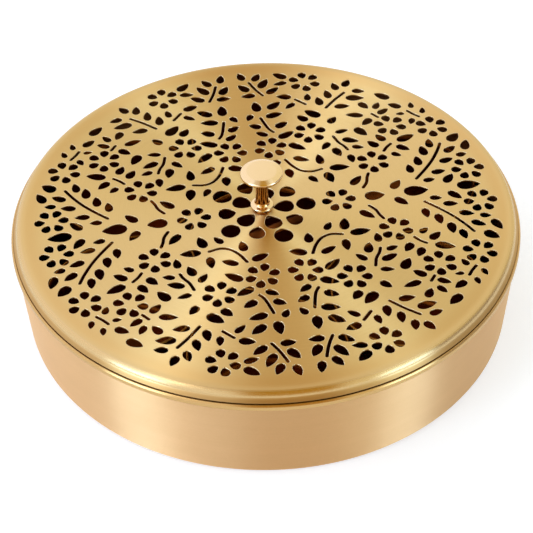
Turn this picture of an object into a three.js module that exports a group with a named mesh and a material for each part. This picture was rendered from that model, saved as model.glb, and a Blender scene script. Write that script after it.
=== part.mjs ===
// Round brass spice box (masala dabba) with a pierced lid, seven small bowls and a spoon.
// Millimetres, +Z up. The origin is the centre of the box's underside.
import * as THREE from 'three';

// ---------------------------------------------------------------- driving dimensions
const SHEET = 1.0;                  // brass sheet of the box
const LID_SHEET = 0.8;
const GAP = 0.3;                    // clearance kept between pieces that touch

const BOX_CORNER_R = 3.6;           // rounding between underside and wall
const BOX_WALL_FOOT_R = 117.4;      // outside of the wall, just above the rounding
const BOX_WALL_HEAD_R = 120.5;      // outside of the wall, just under the bead
const BEAD_R = 121.6;               // widest part of the box: the swaged bead
const BEAD_Z = [45.2, 46.0, 47.9, 49.0];   // bead: start, full width from, to, end
const NECK_R = 117.4;               // upstand that the lid drops over, outside
const NECK_TOP = 52.3;

const LID_EDGE_Z = 54.3;            // top of the lid where the shoulder starts
const LID_RISE = 1.5;               // how much the middle of the lid stands higher
const LID_SHOULDER_R = 116.2;       // the shoulder's rounding starts here
const LID_SHOULDER_ROUND = 2.9;
const LID_SKIRT_R = 120.6;          // outside of the skirt at its lower edge
const PANEL_R = 115.2;              // pierced disc; the plain rim starts outside it

const BOWL_R = 37.5;                // outside of a bowl's rim
const BOWL_SHEET = 0.8;
const BOWL_H = 36.6;
const BOWL_BASE_R = 28;             // flat part of a bowl's underside
const BOWL_WALL_FOOT_R = 32.4;      // outside of a bowl's wall, just above its rounding
const RING_R = 77.6;                // circle of the six outer bowls
const RING_COUNT = 6;
const RING_START_DEG = 30;

const MIDDLE_X = -1.5;              // the knob and its rosette sit a little to one side
const SCREW_R = 1.7;                // shank of the screw that holds the knob
const SCREW_HOLE_R = 2.1;
const SCREW_HEAD_R = 3.6;
const SCREW_HEAD_H = 2.0;
const WASHER_R = 6.0;
const WASHER_H = 0.8;
const KNOB_FOOT_R = 5.6;
const KNOB_STEM_R = 2.8;
const KNOB_HEAD_R = 10.05;
const KNOB_H = 23.7;
const KNOB_NECK_DROP = 6.2;         // the head spreads from the stem this far under the top
const KNOB_BORE = 9;                // depth of the blind hole for the screw

const SPOON_LENGTH = 120;
const SPOON_BOWL_LENGTH = 31;
const SPOON_BOWL_HALF_WIDTH = 11.5;
const SPOON_BOWL_DEPTH = 6.4;
const SPOON_SHEET = 1.2;
const SPOON_NECK_HALF_WIDTH = 2.4;
const SPOON_END_HALF_WIDTH = 4.6;
const SPOON_ARCH_FROM = 34;         // the handle bows upwards from here to its end
const SPOON_ARCH_RISE = 2.2;
const SPOON_TIP = 78;               // how far from the box's axis the spoon's tip lies

// ---------------------------------------------------------------- the pierced pattern
// The pattern is mirrored about two axes at right angles, which are turned a little
// from X and Y. Only one quarter is written here, in mm from the middle of the lid.
const PATTERN_TURN_DEG = 9.5;
const PATTERN_OFFSET_X = 0.7;       // the pattern sits this far off the middle of the lid
const MIRROR_X = 1.1;               // second mirror axis, in the numbers of the tables below

// Flowers of six petals: distance from the middle, angle, and the turn of the first petal.
const FLOWERS = [
  [103.7, 6.7, 0.7], [104.6, 26.7, 25.7], [102.6, 68.3, 31.0], [89.5, 35.2, 37.6],
  [63.6, 23.1, 24.7], [62.3, 58.5, 11.0], [46.3, 76.1, 10.9],
];
const AXIS_FLOWER = [36.2, 0, 0];
const PETAL_RING_R = 5.64;
const PETAL = { long: 5.0, wide: 4.1 };
const SAW_ALLOWANCE = 0.15;         // every hole is this much larger all round than its drawing

// Large pods on the main axis: inner end, outer end, width.
const AXIS_PODS = [[49, 58.6, 6.2], [68.3, 80.1, 7.0], [94.6, 106, 6.2]];

// Sprigs: a thin curved stem and the leaves round it. A leaf is written as its
// round end x, y, its pointed end x, y, and its width.
const SPRIGS = [
  { // curl round the middle
    stem: [[16.6, 34.5], [19.2, 29], [22.9, 24.8], [27.5, 23.2], [32.8, 24.2]],
    leaves: [
      [16.5, 27.1, 16.9, 20.4, 4.2], [14, 33.8, 6, 31, 4.4], [25.7, 19.8, 29, 14.9, 3.4],
      [34.4, 21.2, 36.1, 13.4, 4.7], [36.7, 24.1, 46.5, 23.6, 4.6], [33.2, 27.9, 33.2, 35.5, 4],
      [20.8, 35.2, 28, 31.8, 3.7], [20.6, 46.2, 28, 40.6, 4.4],
    ],
  },
  { // small twig beside the inner pod
    stem: [[49.6, 6.7], [52, 10.2], [53.1, 13.9], [54.4, 16.8]],
    leaves: [[44.4, 9.7, 50.4, 15.6, 4], [63, 3.4, 68.1, 9, 4.2]],
  },
  { // middle sprig
    stem: [[48.3, 36.5], [47.2, 39.5], [44.9, 43.2], [43.5, 48]],
    leaves: [
      [48.6, 32.5, 48.8, 26.3, 3.7], [42, 38.9, 43.9, 32.2, 4.3], [40.4, 43.6, 36.1, 38.8, 3.4],
      [51, 38.4, 56.5, 36.8, 3.1], [47.4, 44.9, 55.1, 42, 4], [45.2, 50.7, 51.7, 51.9, 3],
      [55.5, 52.5, 60, 45.9, 4.9], [43.4, 58.8, 47.7, 63.2, 3.9],
    ],
  },
  { // long sprig beside the pods
    stem: [[76.4, 8.6], [82.6, 15.2], [87.5, 21.3], [91.6, 27.8], [94.3, 33.1]],
    leaves: [
      [79.5, 6.4, 85.2, 7.1, 3.2], [89.3, 3.4, 94.5, 9.2, 4.2], [84.8, 11.6, 91.8, 12.5, 3.6],
      [90.7, 19, 97.7, 20.9, 3.8], [100, 22.5, 105.2, 23.5, 3.3], [94.9, 26, 101, 29.8, 3.9],
      [105, 26.4, 107.8, 33.7, 4.4], [99, 34.2, 104.9, 39.4, 5.2], [75, 13.4, 75.1, 19.9, 3.8],
      [80.2, 18.3, 80.3, 25.3, 4.1], [84.8, 25.3, 84.5, 32.7, 4.3], [88.7, 30.8, 89.4, 37.5, 3.8],
    ],
  },
  { // short twig between two flowers
    stem: [[65.6, 32.2], [67.6, 34.8], [70.3, 37.2]],
    leaves: [
      [69, 29.9, 73.2, 27.1, 3.2], [72.7, 35.1, 78.4, 30.9, 4], [74, 38.8, 83, 42.2, 4.7],
      [63.6, 36, 59.4, 41.1, 4.2], [67.9, 40, 64.5, 45.4, 4.1],
    ],
  },
  { // twig inside the diagonal flower
    stem: [[68.7, 59.2], [66.3, 62.4]],
    leaves: [
      [65, 58.7, 59.8, 54.3, 4], [69.4, 61.8, 75.1, 65.1, 3.5], [61.6, 61.9, 53.2, 64, 3.7],
      [62, 72.6, 65.3, 67.1, 4], [68.4, 66.2, 71.6, 71, 3.3],
    ],
  },
  { // twig at the edge
    stem: [[89.2, 56.1], [86.6, 58.8], [84.5, 61.6]],
    leaves: [
      [85.7, 55.2, 83.7, 50.8, 3.1], [82.4, 59.9, 78.2, 59.9, 2.3], [91.5, 58.4, 92.7, 62.9, 2.7],
      [87.1, 63.6, 87.6, 68.2, 2.7], [82, 65.2, 76.1, 68.8, 4], [77.7, 73.4, 71.2, 78.6, 4.6],
    ],
  },
  { // diagonal sprig
    stem: [[44.6, 71.6], [50.2, 77.3], [56.2, 82.4]],
    leaves: [
      [47.8, 79.2, 47.3, 86.1, 3.8], [42.3, 74.2, 42, 81.2, 4], [36.5, 79.4, 37.6, 85, 3.3],
      [49, 71.6, 56.7, 71.1, 3.8], [56.2, 77.9, 65.3, 76.2, 4.6], [60.6, 83.2, 66.7, 81.6, 3.6],
      [53, 85.3, 52.1, 91.6, 3.8], [57, 87.5, 60.7, 92.7, 3.9],
    ],
  },
  { // twig near the second axis
    stem: [[14.8, 57.1], [13, 60], [11.8, 64], [10.5, 69.6]],
    leaves: [
      [11.5, 54.9, 6.1, 58.5, 3.6], [9.3, 61.8, 3.8, 64.8, 3.9], [6.4, 73.1, 3.8, 68.5, 3.4],
      [16.6, 51.9, 24.8, 55.6, 4.4], [16.7, 60.6, 23, 63.7, 4.3], [13.4, 69.9, 22, 71.5, 4.3],
    ],
  },
  { // outer twig near the second axis
    stem: [[14.9, 88], [12.8, 92], [11.3, 95.6], [9.8, 100.1]],
    leaves: [
      [11, 88.9, 3.9, 88.9, 3.9], [17.3, 89.1, 23.9, 93.2, 4.1], [28.8, 96.8, 22, 95.8, 3.5],
      [8.3, 92.7, 4, 99, 4.4], [14.4, 94.4, 19.4, 101.5, 4.4], [12.3, 100.9, 16, 106.7, 4],
      [29.4, 100.4, 23.3, 105.4, 4.5], [7.2, 102.6, 5.6, 109.1, 3.9],
    ],
  },
  { // twig between the two, with the widest leaf
    stem: [[34.9, 76.5], [30.6, 81.4]],
    leaves: [
      [29.5, 78.5, 24.4, 74.7, 3.2], [10.1, 75, 9.6, 83.2, 4.7], [15.4, 76.3, 22.4, 80.8, 4.5],
      [33.2, 62.9, 29, 67.8, 4.3], [40.1, 65.1, 33.5, 71.3, 5.2], [28.8, 83.6, 21.6, 85.8, 4.2],
    ],
  },
];
const STEM_WIDTH = 1.3;

// Rosette round the knob: petals in line with the five main directions, and between them.
const ROSETTE_COUNT = 5;
const ROSETTE_INNER = { r: 10.6, long: 9.0, wide: 7.6 };
const ROSETTE_OUTER = { r: 21.9, long: 9.0, wide: 7.8 };
const ROSETTE_BETWEEN = { r: 17.3, long: 7.4, wide: 6.8 };

// ---------------------------------------------------------------- helpers
const rad = (deg) => (deg * Math.PI) / 180;

function polar(r, deg) {
  return new THREE.Vector2(r * Math.cos(rad(deg)), r * Math.sin(rad(deg)));
}

function turned(point, deg) {
  return point.clone().rotateAround(new THREE.Vector2(0, 0), rad(deg));
}

// Quarter of a circle, or any arc, as profile points.
function arc(cx, cz, r, fromDeg, toDeg, steps) {
  const points = [];
  for (let i = 0; i <= steps; i += 1) {
    const a = rad(fromDeg + ((toDeg - fromDeg) * i) / steps);
    points.push([cx + r * Math.cos(a), cz + r * Math.sin(a)]);
  }
  return points;
}

// Closed body of revolution about Z from a counter-clockwise profile of [radius, height].
function lathe(profile, segments) {
  const points = profile.map(([r, z]) => new THREE.Vector2(r, z));
  const geometry = new THREE.LatheGeometry(points, segments);
  geometry.rotateX(Math.PI / 2);
  return geometry;
}

function ring(profile, segments) {
  return lathe([...profile, profile[0]], segments);
}

function brass(color, roughness) {
  return new THREE.MeshStandardMaterial({ color, roughness, metalness: 1.0 });
}

const LID_BRASS = brass(0xd9b978, 0.34);
const WALL_BRASS = brass(0xd8b48c, 0.4);
const KNOB_BRASS = brass(0xe0bc82, 0.18);
const BOWL_BRASS = brass(0xcfa562, 0.3);
const STEEL = new THREE.MeshStandardMaterial({ color: 0xb9b9b6, roughness: 0.35, metalness: 1.0 });

const group = new THREE.Group();

function addMesh(name, geometry, material, parent = group) {
  const mesh = new THREE.Mesh(geometry, material);
  mesh.name = name;
  parent.add(mesh);
  return mesh;
}

// ---------------------------------------------------------------- box
function boxShell() {
  const [beadStart, beadFull, beadTurn, beadEnd] = BEAD_Z;
  const innerCorner = BOX_CORNER_R - SHEET;
  const cornerX = BOX_WALL_FOOT_R - BOX_CORNER_R;
  const profile = [
    [0, 0],
    ...arc(cornerX, BOX_CORNER_R, BOX_CORNER_R, -90, 0, 3),
    [BOX_WALL_HEAD_R, beadStart],
    [BEAD_R, beadFull],
    [BEAD_R, beadTurn],
    [BEAD_R - 0.8, beadEnd],
    [NECK_R, beadEnd],
    [NECK_R, NECK_TOP],
    [NECK_R - SHEET, NECK_TOP],
    [NECK_R - SHEET, beadEnd - SHEET],
    [BOX_WALL_HEAD_R - SHEET, beadStart],
    ...arc(cornerX, BOX_CORNER_R, innerCorner, 0, -90, 3),
    [0, SHEET],
  ];
  return lathe(profile, 64);
}

// ---------------------------------------------------------------- lid
const lidTop = (r) => LID_EDGE_Z + LID_RISE * (1 - (r / LID_SHOULDER_R) ** 2);

// A leaf or petal as a kite: pointed end, two sides, round end.
function kite(round, tip, width) {
  const along = tip.clone().sub(round);
  const end = along.clone().setLength(SAW_ALLOWANCE);
  const half = width / 2 + SAW_ALLOWANCE;
  const side = new THREE.Vector2(-along.y, along.x).setLength(half);
  const widest = round.clone().addScaledVector(along, 0.34);
  return [tip.clone().add(end), widest.clone().add(side), round.clone().sub(end),
    widest.clone().sub(side)];
}

// A blunt petal with five corners: narrow towards the middle, broad outside.
function broadPetal({ r, long, wide }, deg) {
  const corners = [[-long / 2, 0], [0, -wide / 2], [long * 0.36, -wide * 0.36], [long / 2, 0],
    [long * 0.36, wide * 0.36], [0, wide / 2]];
  return corners.map(([u, v]) => turned(new THREE.Vector2(r + u, v), deg));
}

// A thin slot that follows a line of points.
function slot(points, width) {
  const left = [];
  const right = [];
  points.forEach((point, i) => {
    const before = points[Math.max(i - 1, 0)];
    const after = points[Math.min(i + 1, points.length - 1)];
    const way = after.clone().sub(before).normalize();
    const side = new THREE.Vector2(-way.y, way.x).multiplyScalar(width / 2);
    left.push(point.clone().add(side));
    right.unshift(point.clone().sub(side));
  });
  return [...left, ...right];
}

function flower([r, deg, turnDeg]) {
  const centre = polar(r, deg);
  const petals = [];
  for (let i = 0; i < 6; i += 1) {
    const way = polar(1, turnDeg + 60 * i);
    const tip = centre.clone().addScaledVector(way, PETAL_RING_R - PETAL.long / 2);
    const round = centre.clone().addScaledVector(way, PETAL_RING_R + PETAL.long / 2);
    petals.push(kite(round, tip, PETAL.wide));
  }
  return petals;
}

// All holes of one quarter, before they are mirrored.
function quarterHoles() {
  const holes = FLOWERS.flatMap(flower);
  for (const { stem, leaves } of SPRIGS) {
    const line = stem.map(([x, y]) => new THREE.Vector2(x, y));
    holes.push(slot(line, STEM_WIDTH + 2 * SAW_ALLOWANCE));
    for (const [rx, ry, tx, ty, width] of leaves) {
      holes.push(kite(new THREE.Vector2(rx, ry), new THREE.Vector2(tx, ty), width));
    }
  }
  return holes;
}

// Holes that sit on the main axis, for its positive half.
function axisHoles() {
  const holes = flower(AXIS_FLOWER);
  for (const [inner, outer, width] of AXIS_PODS) {
    holes.push(kite(new THREE.Vector2(inner, 0), new THREE.Vector2(outer, 0), width));
  }
  return holes;
}

function rosetteHoles() {
  const holes = [];
  for (let i = 0; i < ROSETTE_COUNT; i += 1) {
    const deg = (360 / ROSETTE_COUNT) * i;
    holes.push(broadPetal(ROSETTE_INNER, deg));
    holes.push(broadPetal(ROSETTE_OUTER, deg));
    holes.push(broadPetal(ROSETTE_BETWEEN, deg + 180 / ROSETTE_COUNT));
  }
  return holes;
}

function mirrored(hole, sx, sy) {
  return hole.map((point) => new THREE.Vector2((point.x - MIRROR_X) * sx, point.y * sy));
}

function allHoles() {
  const placeAt = (x) => (hole) => hole.map((point) => {
    return turned(point, PATTERN_TURN_DEG).add(new THREE.Vector2(x, 0));
  });
  const holes = rosetteHoles().map(placeAt(MIDDLE_X));
  const place = placeAt(PATTERN_OFFSET_X);
  for (const sx of [1, -1]) {
    axisHoles().forEach((hole) => holes.push(place(mirrored(hole, sx, 1))));
    for (const sy of [1, -1]) {
      quarterHoles().forEach((hole) => holes.push(place(mirrored(hole, sx, sy))));
    }
  }
  return holes;
}

function circlePoints(r, count) {
  return Array.from({ length: count }, (_, i) => polar(r, (360 / count) * i));
}

function lidPanel() {
  const shape = new THREE.Shape(circlePoints(PANEL_R, 64));
  const screwHole = circlePoints(SCREW_HOLE_R, 12).map(({ x, y }) => new THREE.Vector2(x + MIDDLE_X, y));
  shape.holes.push(new THREE.Path(screwHole));
  for (const hole of allHoles()) shape.holes.push(new THREE.Path(hole));
  const geometry = new THREE.ExtrudeGeometry(shape, { depth: LID_SHEET, bevelEnabled: false });
  const position = geometry.attributes.position;
  for (let i = 0; i < position.count; i += 1) {
    const r = Math.hypot(position.getX(i), position.getY(i));
    position.setZ(i, position.getZ(i) + lidTop(r) - LID_SHEET);
  }
  return geometry;
}

function lidRim() {
  const inner = PANEL_R + GAP;
  const roundZ = LID_EDGE_Z - LID_SHOULDER_ROUND;
  const skirtZ = BEAD_Z[3] + GAP + 0.1;
  const profile = [
    [LID_SKIRT_R - LID_SHEET, skirtZ],
    [LID_SKIRT_R, skirtZ],
    ...arc(LID_SHOULDER_R, roundZ, LID_SHOULDER_ROUND, 0, 90, 4),
    [inner, lidTop(inner)],
    [inner, lidTop(inner) - LID_SHEET],
    ...arc(LID_SHOULDER_R, roundZ, LID_SHOULDER_ROUND - LID_SHEET, 90, 0, 2),
  ];
  return ring(profile, 64);
}

// ---------------------------------------------------------------- knob and its fixing
function knob() {
  const foot = lidTop(0) + GAP;
  const head = foot + KNOB_H;
  const profile = [
    [0, foot + KNOB_BORE],
    [SCREW_HOLE_R, foot + KNOB_BORE - 1],
    [SCREW_HOLE_R, foot],
    [KNOB_FOOT_R - 0.6, foot],
    [KNOB_FOOT_R - 0.4, foot + 1.4],
    [KNOB_FOOT_R, foot + 2.4],
    [KNOB_FOOT_R - 0.6, foot + 3.3],
    [KNOB_STEM_R + 0.7, foot + 4.0],
    [KNOB_STEM_R + 0.3, foot + 5.2],
    [KNOB_STEM_R, foot + 12],
    [KNOB_STEM_R, head - KNOB_NECK_DROP],
    [KNOB_STEM_R + 1.0, head - 4.7],
    [6.4, head - 3.6],
    [9.2, head - 2.5],
    [KNOB_HEAD_R, head - 1.7],
    [KNOB_HEAD_R - 0.1, head - 1.0],
    [8.7, head - 0.3],
    [0, head],
  ];
  return lathe(profile, 28);
}

function knobWasher() {
  const top = lidTop(WASHER_R) - LID_SHEET - GAP;
  const profile = [
    [SCREW_HOLE_R, top - WASHER_H],
    [WASHER_R, top - WASHER_H],
    [WASHER_R, top],
    [SCREW_HOLE_R, top],
  ];
  return ring(profile, 24);
}

function knobScrew() {
  const headTop = lidTop(WASHER_R) - LID_SHEET - WASHER_H - 2 * GAP;
  const shankTop = lidTop(0) + GAP + KNOB_BORE - 1.6;
  const profile = [
    [0, headTop - SCREW_HEAD_H],
    [SCREW_HEAD_R * 0.7, headTop - SCREW_HEAD_H + 0.2],
    [SCREW_HEAD_R, headTop - SCREW_HEAD_H * 0.5],
    [SCREW_HEAD_R, headTop],
    [SCREW_R, headTop],
    [SCREW_R, shankTop],
    [0, shankTop + 0.3],
  ];
  return lathe(profile, 20);
}

// ---------------------------------------------------------------- bowls
function bowl() {
  const wallHead = BOWL_R - 1.0;
  const profile = [
    [0, 0],
    [BOWL_BASE_R, 0],
    [BOWL_WALL_FOOT_R - 1.4, 1.4],
    [BOWL_WALL_FOOT_R, 4.6],
    [wallHead, BOWL_H - 1.9],
    [BOWL_R, BOWL_H - 1.1],
    [BOWL_R - 0.5, BOWL_H],
    [wallHead - 0.6, BOWL_H - 0.3],
    [wallHead - BOWL_SHEET, BOWL_H - 1.9],
    [BOWL_WALL_FOOT_R - BOWL_SHEET, 4.8],
    [BOWL_WALL_FOOT_R - 2.0, 2.0],
    [BOWL_BASE_R - 0.2, BOWL_SHEET],
    [0, BOWL_SHEET],
  ];
  return lathe(profile, 28);
}

// ---------------------------------------------------------------- spoon
// The spoon is a thin pressed sheet: an upper and a lower skin with an edge between them.
function spoonHalfWidth(s) {
  const neck = SPOON_BOWL_LENGTH;
  const end = SPOON_LENGTH - s;
  if (s < neck) {
    const t = (s / neck) * 2 - 1;
    const oval = Math.sqrt(Math.max(1 - t * t, 0));
    return Math.max(SPOON_BOWL_HALF_WIDTH * oval, s < neck / 2 ? 1.2 : SPOON_NECK_HALF_WIDTH);
  }
  const spread = (s - neck) / (SPOON_LENGTH - neck);
  const tail = SPOON_END_HALF_WIDTH;
  const handle = SPOON_NECK_HALF_WIDTH + (tail - SPOON_NECK_HALF_WIDTH) * spread;
  return end < tail ? Math.max(Math.sqrt(Math.max(tail ** 2 - (tail - end) ** 2, 0)), 1.4) : handle;
}

function spoonDip(s, u) {
  const t = (s / SPOON_BOWL_LENGTH) * 2 - 1;
  if (t >= 1) return 0;
  return SPOON_BOWL_DEPTH * (1 - t * t) * (1 - u * u);
}

function spoon() {
  const across = 7;
  const stations = [0, 1.5, 4, 7.5, 11.5, 15.5, 19.5, 23.5, 27, 29.4, 31.5, 36, 48, 62, 76, 90,
    104, 112, 116, 118.6, SPOON_LENGTH];
  const vertices = [];
  const index = [];
  for (const lift of [0, SPOON_SHEET]) {
    for (const s of stations) {
      for (let i = 0; i < across; i += 1) {
        const u = (i / (across - 1)) * 2 - 1;
        const along = Math.max((s - SPOON_ARCH_FROM) / (SPOON_LENGTH - SPOON_ARCH_FROM), 0);
        const arch = SPOON_ARCH_RISE * Math.sin(Math.PI * along);
        vertices.push(SPOON_TIP - s, spoonHalfWidth(s) * u, lift + arch - spoonDip(s, u));
      }
    }
  }
  const layer = stations.length * across;
  const at = (j, i) => j * across + i;
  const quad = (a, b, c, d) => index.push(a, c, b, a, d, c);
  for (let j = 0; j < stations.length - 1; j += 1) {
    for (let i = 0; i < across - 1; i += 1) {
      quad(at(j, i), at(j, i + 1), at(j + 1, i + 1), at(j + 1, i));
      quad(layer + at(j, i), layer + at(j + 1, i), layer + at(j + 1, i + 1), layer + at(j, i + 1));
    }
    quad(at(j, 0), at(j + 1, 0), layer + at(j + 1, 0), layer + at(j, 0));
    const e = across - 1;
    quad(at(j, e), layer + at(j, e), layer + at(j + 1, e), at(j + 1, e));
  }
  const last = stations.length - 1;
  for (let i = 0; i < across - 1; i += 1) {
    quad(at(0, i), layer + at(0, i), layer + at(0, i + 1), at(0, i + 1));
    quad(at(last, i), at(last, i + 1), layer + at(last, i + 1), layer + at(last, i));
  }
  const geometry = new THREE.BufferGeometry();
  geometry.setAttribute('position', new THREE.Float32BufferAttribute(vertices, 3));
  geometry.setIndex(index);
  geometry.computeVertexNormals();
  return geometry;
}

// ---------------------------------------------------------------- assembly
addMesh('box_shell', boxShell(), WALL_BRASS);

const lidGroup = new THREE.Group();
group.add(lidGroup);
addMesh('lid_panel', lidPanel(), LID_BRASS, lidGroup);
addMesh('lid_rim', lidRim(), LID_BRASS, lidGroup);
addMesh('knob', knob(), KNOB_BRASS, lidGroup).position.x = MIDDLE_X;
addMesh('knob_washer', knobWasher(), STEEL, lidGroup).position.x = MIDDLE_X;
addMesh('knob_screw', knobScrew(), STEEL, lidGroup).position.x = MIDDLE_X;

const bowlFloor = SHEET + GAP;
addMesh('bowl_centre', bowl(), BOWL_BRASS).position.set(0, 0, bowlFloor);
for (let i = 0; i < RING_COUNT; i += 1) {
  const place = polar(RING_R, RING_START_DEG + (360 / RING_COUNT) * i);
  addMesh(`bowl_${i + 1}`, bowl(), BOWL_BRASS).position.set(place.x, place.y, bowlFloor);
}

const spoonMesh = addMesh('spoon', spoon(), BOWL_BRASS);
spoonMesh.position.z = bowlFloor + BOWL_H + GAP;
spoonMesh.rotation.z = rad(RING_START_DEG);

export default group;
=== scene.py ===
"""Round brass spice box (masala dabba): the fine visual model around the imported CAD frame.

Lengths in the shape code are millimetres and are turned into metres when a mesh is made. A
profile is the section of a turned piece, as corners (radius, height, fillet) anticlockwise.
"""
import math

import bpy
import numpy as np
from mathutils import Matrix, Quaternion, Vector
from mathutils.geometry import delaunay_2d_cdt
from mathutils.kdtree import KDTree


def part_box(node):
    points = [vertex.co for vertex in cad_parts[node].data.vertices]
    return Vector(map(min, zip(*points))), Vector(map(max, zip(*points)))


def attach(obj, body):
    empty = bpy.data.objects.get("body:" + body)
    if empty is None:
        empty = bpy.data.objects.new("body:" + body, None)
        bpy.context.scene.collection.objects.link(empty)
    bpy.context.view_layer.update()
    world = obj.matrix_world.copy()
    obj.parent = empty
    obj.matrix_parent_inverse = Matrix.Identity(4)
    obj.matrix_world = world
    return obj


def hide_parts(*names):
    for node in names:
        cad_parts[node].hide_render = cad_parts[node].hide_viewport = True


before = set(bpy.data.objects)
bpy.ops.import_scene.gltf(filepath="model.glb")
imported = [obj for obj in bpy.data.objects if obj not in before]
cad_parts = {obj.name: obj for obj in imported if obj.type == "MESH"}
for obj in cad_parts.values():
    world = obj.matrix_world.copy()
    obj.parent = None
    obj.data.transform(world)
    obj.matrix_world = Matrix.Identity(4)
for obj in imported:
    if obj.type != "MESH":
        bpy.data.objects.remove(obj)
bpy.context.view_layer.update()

MM = 0.001

# ------------------------------------------------------------------ sizes, most from the frame
GAP = 0.3                                 # between neighbouring solids of the CAD
SHEET = 1.0                               # thickness of the box
LID_SHEET = 0.8
BOWL_SHEET = 0.8
SPOON_SHEET = 1.1


def node_box(node):
    """Lowest and highest corner of a CAD node in mm."""
    low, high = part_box(node)
    return low / MM, high / MM


_, shell_high = node_box("box_shell")
rim_low, rim_high = node_box("lid_rim")
knob_low, knob_high = node_box("knob")
washer_low, washer_high = node_box("knob_washer")
screw_low, screw_high = node_box("knob_screw")
bowl_low, bowl_high = node_box("bowl_centre")

BEAD_R = shell_high.x
NECK_TOP = shell_high.z
SKIRT_R = rim_high.x
SKIRT_Z = rim_low.z
KNOB_FOOT_Z = knob_low.z
KNOB_TOP_Z = knob_high.z
LID_MIDDLE_Z = KNOB_FOOT_Z - GAP          # top of the lid in its middle
LID_RISE = 1.5                            # how far the lid is domed
LID_EDGE_Z = LID_MIDDLE_Z - LID_RISE
SHOULDER_R = SKIRT_R - 4.4                # the lid's edge starts to turn down here
SHOULDER_ROUND = 2.9
PLATE_R = SKIRT_R - 5.4                   # the lid's mesh changes from plate to rim here
SCREW_HOLE_R = 2.1
SCREW_HOLE_STEPS = 24
RIM_SEGMENTS = 240
MIDDLE = ((knob_low.x + knob_high.x) / 2, 0.0)   # the knob sits a little to one side

# ------------------------------------------------------------------ the pierced pattern
PATTERN_TURN = math.radians(9.5)
PATTERN_OFFSET = (0.7, 0.0)               # the pattern sits this far off the lid's middle
MIRROR_X = 1.1                            # second mirror axis, in the tables' numbers
SAW_ALLOWANCE = 0.15                      # each hole is this much larger all round
FLOWERS = [                               # distance, direction, direction of its first petal
    (103.7, 6.7, 0.7), (104.6, 26.7, 25.7), (102.6, 68.3, 31.0), (89.5, 35.2, 37.6),
    (63.6, 23.1, 24.7), (62.3, 58.5, 11.0), (46.3, 76.1, 10.9),
]
AXIS_FLOWER = (36.2, 0.0, 0.0)
PETAL_COUNT = 6
PETAL_RING_R = 5.64
PETAL_LONG, PETAL_WIDE = 5.0, 4.1
PETAL_POINTED, LEAF_POINTED = 0.5, 0.6
AXIS_PODS = [(49, 58.6, 6.2), (68.3, 80.1, 7.0), (94.6, 106, 6.2)]    # inner, outer end, width
STEM_WIDTH = 1.3
LEAF_STEPS, PETAL_STEPS, ROSETTE_STEPS = 22, 16, 24                   # points of an outline

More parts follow.
